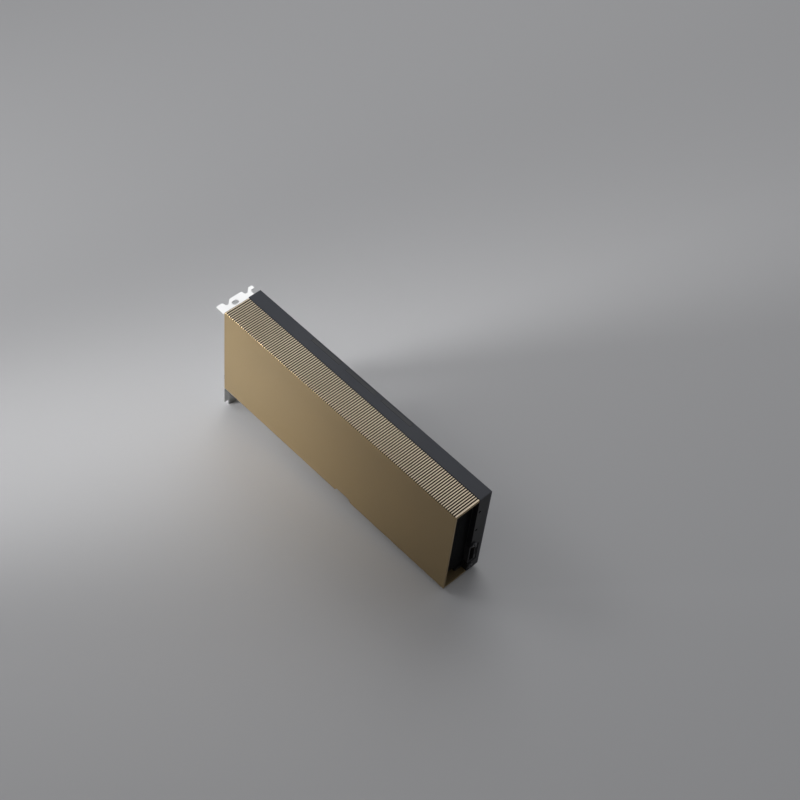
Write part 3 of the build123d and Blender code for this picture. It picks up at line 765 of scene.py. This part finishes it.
def screw_mesh(name, head_radius, length, flat=False):
    """One screw along +Z with its tip at zero: helical thread, head and hexagon socket."""
    rings = screw_rings(head_radius, length, flat)
    work = bmesh.new()
    angles = [2 * math.pi * i / screw_segments for i in range(screw_segments)]
    loops = []
    for radius, height in rings:
        loop = []
        for angle in angles:
            reach = radius
            if radius == "thread":
                turn = (height / thread_pitch - angle / (2 * math.pi)) % 1.0
                fade = min(1.0, height / thread_pitch)
                reach = shank_radius - thread_cut * (abs(2 * turn - 1) * fade + 1.0 - fade)
            loop.append(work.verts.new((reach * math.cos(angle), reach * math.sin(angle), height)))
        loops.append(loop)
    for deep in (0, socket_lead, socket_deep):
        loop = []
        for angle in angles:
            facet = (angle + math.pi / 6) % (math.pi / 3) - math.pi / 6
            half = socket_half_width + (socket_lead if deep == 0 else 0)
            reach = half / math.cos(facet)
            loop.append(work.verts.new((reach * math.cos(angle), reach * math.sin(angle), length - deep)))
        loops.append(loop)
    for lower, upper in zip(loops, loops[1:]):
        for i in range(screw_segments):
            k = (i + 1) % screw_segments
            work.faces.new((lower[i], lower[k], upper[k], upper[i]))
    work.faces.new(list(reversed(loops[0])))
    work.faces.new(loops[-1])
    bmesh.ops.recalc_face_normals(work, faces=work.faces)
    mesh = bpy.data.meshes.new(name)
    work.to_mesh(mesh)
    work.free()
    return mesh


def fit_screws(name, node, outward, material, flat=False):
    """Screws in place of a node's plain ones, each turned so that its head faces outward."""
    axis = max(range(3), key=lambda i: abs(outward[i]))
    across = [i for i in range(3) if i != axis]
    turn = Vector(outward).to_track_quat("Z", "Y").to_matrix().to_4x4()
    whole = bmesh.new()
    for low, high in loose_boxes(node):
        middle = (low + high) / 2
        tip = middle.copy()
        tip[axis] = low[axis] if outward[axis] > 0 else high[axis]
        head_radius = (high[across[0]] - low[across[0]]) / 2
        single = screw_mesh("screw", head_radius, high[axis] - low[axis], flat)
        single.transform(Matrix.Translation(tip) @ turn)
        whole.from_mesh(single)
        bpy.data.meshes.remove(single)
    mesh = bpy.data.meshes.new(name)
    whole.to_mesh(mesh)
    whole.free()
    piece = make_object(name, mesh, material)
    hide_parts(node)


fit_screws("tail_plate_screws", "tail_screws", (1, 0, 0), screw_steel)
fit_screws("cover_screws", "backplate_screws", (0, 1, 0), screw_steel)
fit_screws("spring_screws", "retention_screws", (0, 1, 0), screw_steel)
fit_screws("floor_screws", "shroud_screws", (0, 0, -1), screw_steel, flat=True)
fit_screws("flange_screws", "bracket_screws", (-1, 0, 0), plain_steel)

# Countersinks: four conical seats in the shroud's floor, so the flat heads lie flush.
# They are drilled and sunk from below before the aluminium is anodised.
sink_gap = 0.2 * mm
sink_over = 0.5 * mm
sink_tip = 0.001 * mm
sink_segments = 48
bore_radius = 1.5 * mm
bore_depth = 8 * mm
bore_middle = 2 * mm
cutter = bmesh.new()
for low, high in loose_boxes("shroud_screws"):
    middle = (low + high) / 2
    mouth = (high.x - low.x) / 2 + sink_gap
    height = mouth + sink_over
    place = Matrix.Translation((middle.x, middle.y, low.z - sink_over + height / 2))
    bmesh.ops.create_cone(
        cutter,
        cap_ends=True,
        segments=sink_segments,
        radius1=mouth + sink_over,
        radius2=mouth + sink_over - height + sink_tip,
        depth=height,
        matrix=place,
    )
    bore = Matrix.Translation((middle.x, middle.y, low.z + bore_middle))
    bmesh.ops.create_cone(
        cutter,
        cap_ends=True,
        segments=sink_segments,
        radius1=bore_radius,
        radius2=bore_radius,
        depth=bore_depth,
        matrix=bore,
    )
cutter_mesh = bpy.data.meshes.new("countersink cutter")
cutter.to_mesh(cutter_mesh)
cutter.free()
cutter_object = bpy.data.objects.new("countersink cutter", cutter_mesh)
bpy.context.scene.collection.objects.link(cutter_object)
sink = ribbed_shroud.modifiers.new("countersinks", "BOOLEAN")
sink.object = cutter_object
sink.operation = "DIFFERENCE"
sink.solver = "EXACT"
sink.use_self = True
bpy.context.view_layer.update()
settled_scene = bpy.context.evaluated_depsgraph_get()
cut_shroud = bpy.data.meshes.new_from_object(ribbed_shroud.evaluated_get(settled_scene))
ribbed_shroud.modifiers.remove(sink)
ribbed_shroud.data = cut_shroud
bpy.data.objects.remove(cutter_object)
